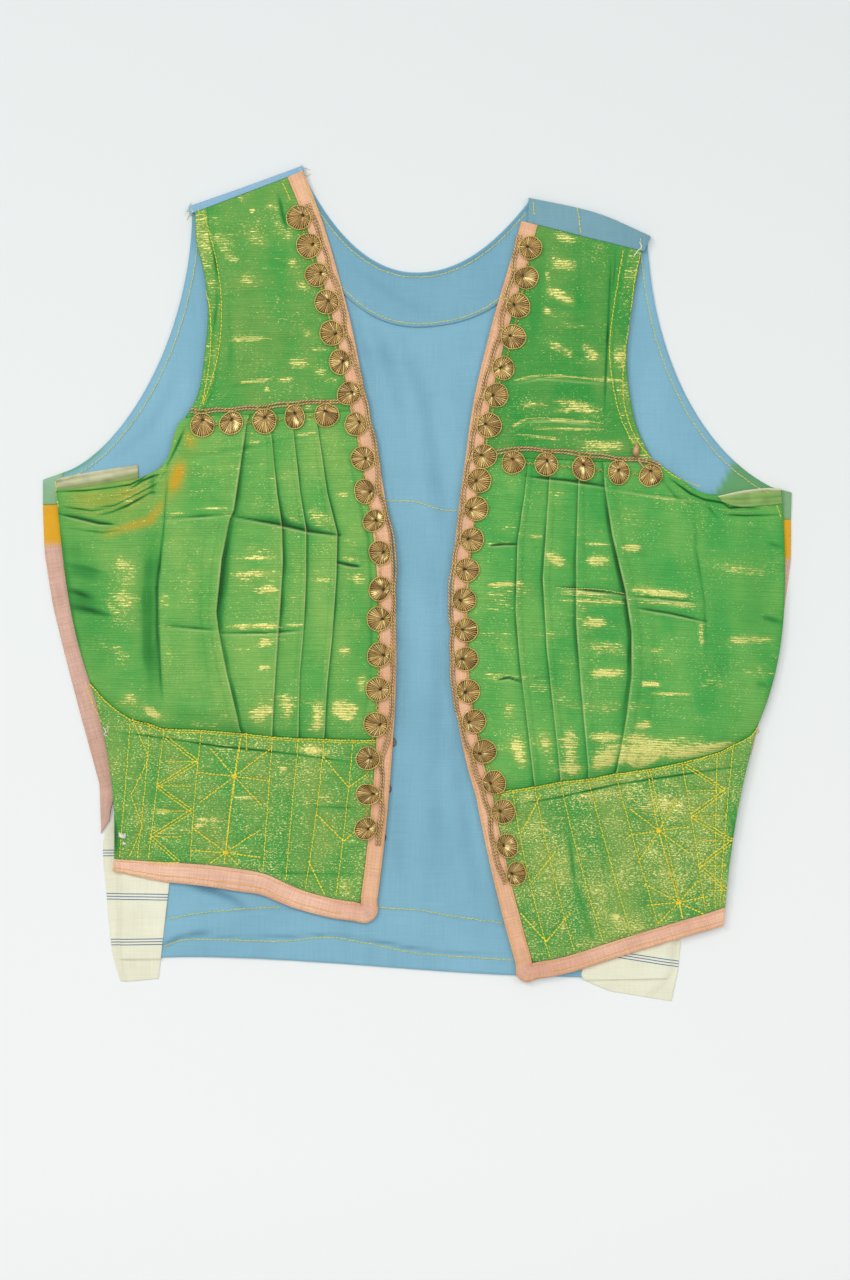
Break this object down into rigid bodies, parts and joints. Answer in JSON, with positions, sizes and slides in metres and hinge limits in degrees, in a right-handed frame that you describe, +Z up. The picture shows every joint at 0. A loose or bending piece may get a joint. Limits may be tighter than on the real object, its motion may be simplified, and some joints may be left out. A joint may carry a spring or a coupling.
{
  "type": "waistcoat",
  "caption": "Folk waistcoat laid flat with open fronts: green lame fronts with pleats and stitched bands, blue cotton back, pink binding and gilt rosette trim.",
  "frame": {"origin": "on the table, under the middle of the garment's bounding box", "axes": "+X to the viewer's right across the garment, +Y up towards its neck, +Z up off the table it lies on"},
  "size_m": [0.4637, 0.5172, 0.0134],
  "materials": {
    "blue_cotton": "plain weave cotton, washed blue, matt",
    "green_lame": "green ribbed lame with gold weft that glints in streaks",
    "pink_binding": "coarse pink weave with yellow edge stitching; orange at the side bindings' tops",
    "cream_cotton": "soft cream cotton with grey-blue stripes on the tails",
    "patch_cotton": "green and light blue-green cotton",
    "gilt_trim": "gilt metal thread and cord, aged",
    "dark_metal": "small dark fasteners"
  },
  "bodies": {
    "root": {"back": "blue_cotton", "back_neck_facing": "blue_cotton", "left_shoulder_strip": "blue_cotton", "right_shoulder_strip": "blue_cotton", "left_stud_1": "dark_metal", "left_stud_2": "dark_metal", "left_stud_3": "dark_metal", "left_underarm_lining": "cream_cotton", "right_underarm_lining": "cream_cotton", "left_tail": "cream_cotton", "right_tail": "cream_cotton", "left_underarm_patch": "patch_cotton", "right_underarm_patch": "patch_cotton", "left_side_binding": "pink_binding", "right_side_binding": "pink_binding", "left_yoke": "green_lame", "right_yoke": "green_lame", "left_bust": "green_lame", "right_bust": "green_lame", "left_band": "green_lame", "right_band": "green_lame", "left_edging": "pink_binding", "right_edging": "pink_binding", "left_edge_rosettes": "gilt_trim", "right_edge_rosettes": "gilt_trim", "left_row_rosettes": "gilt_trim", "right_row_rosettes": "gilt_trim"}
  },
  "joints": []
}
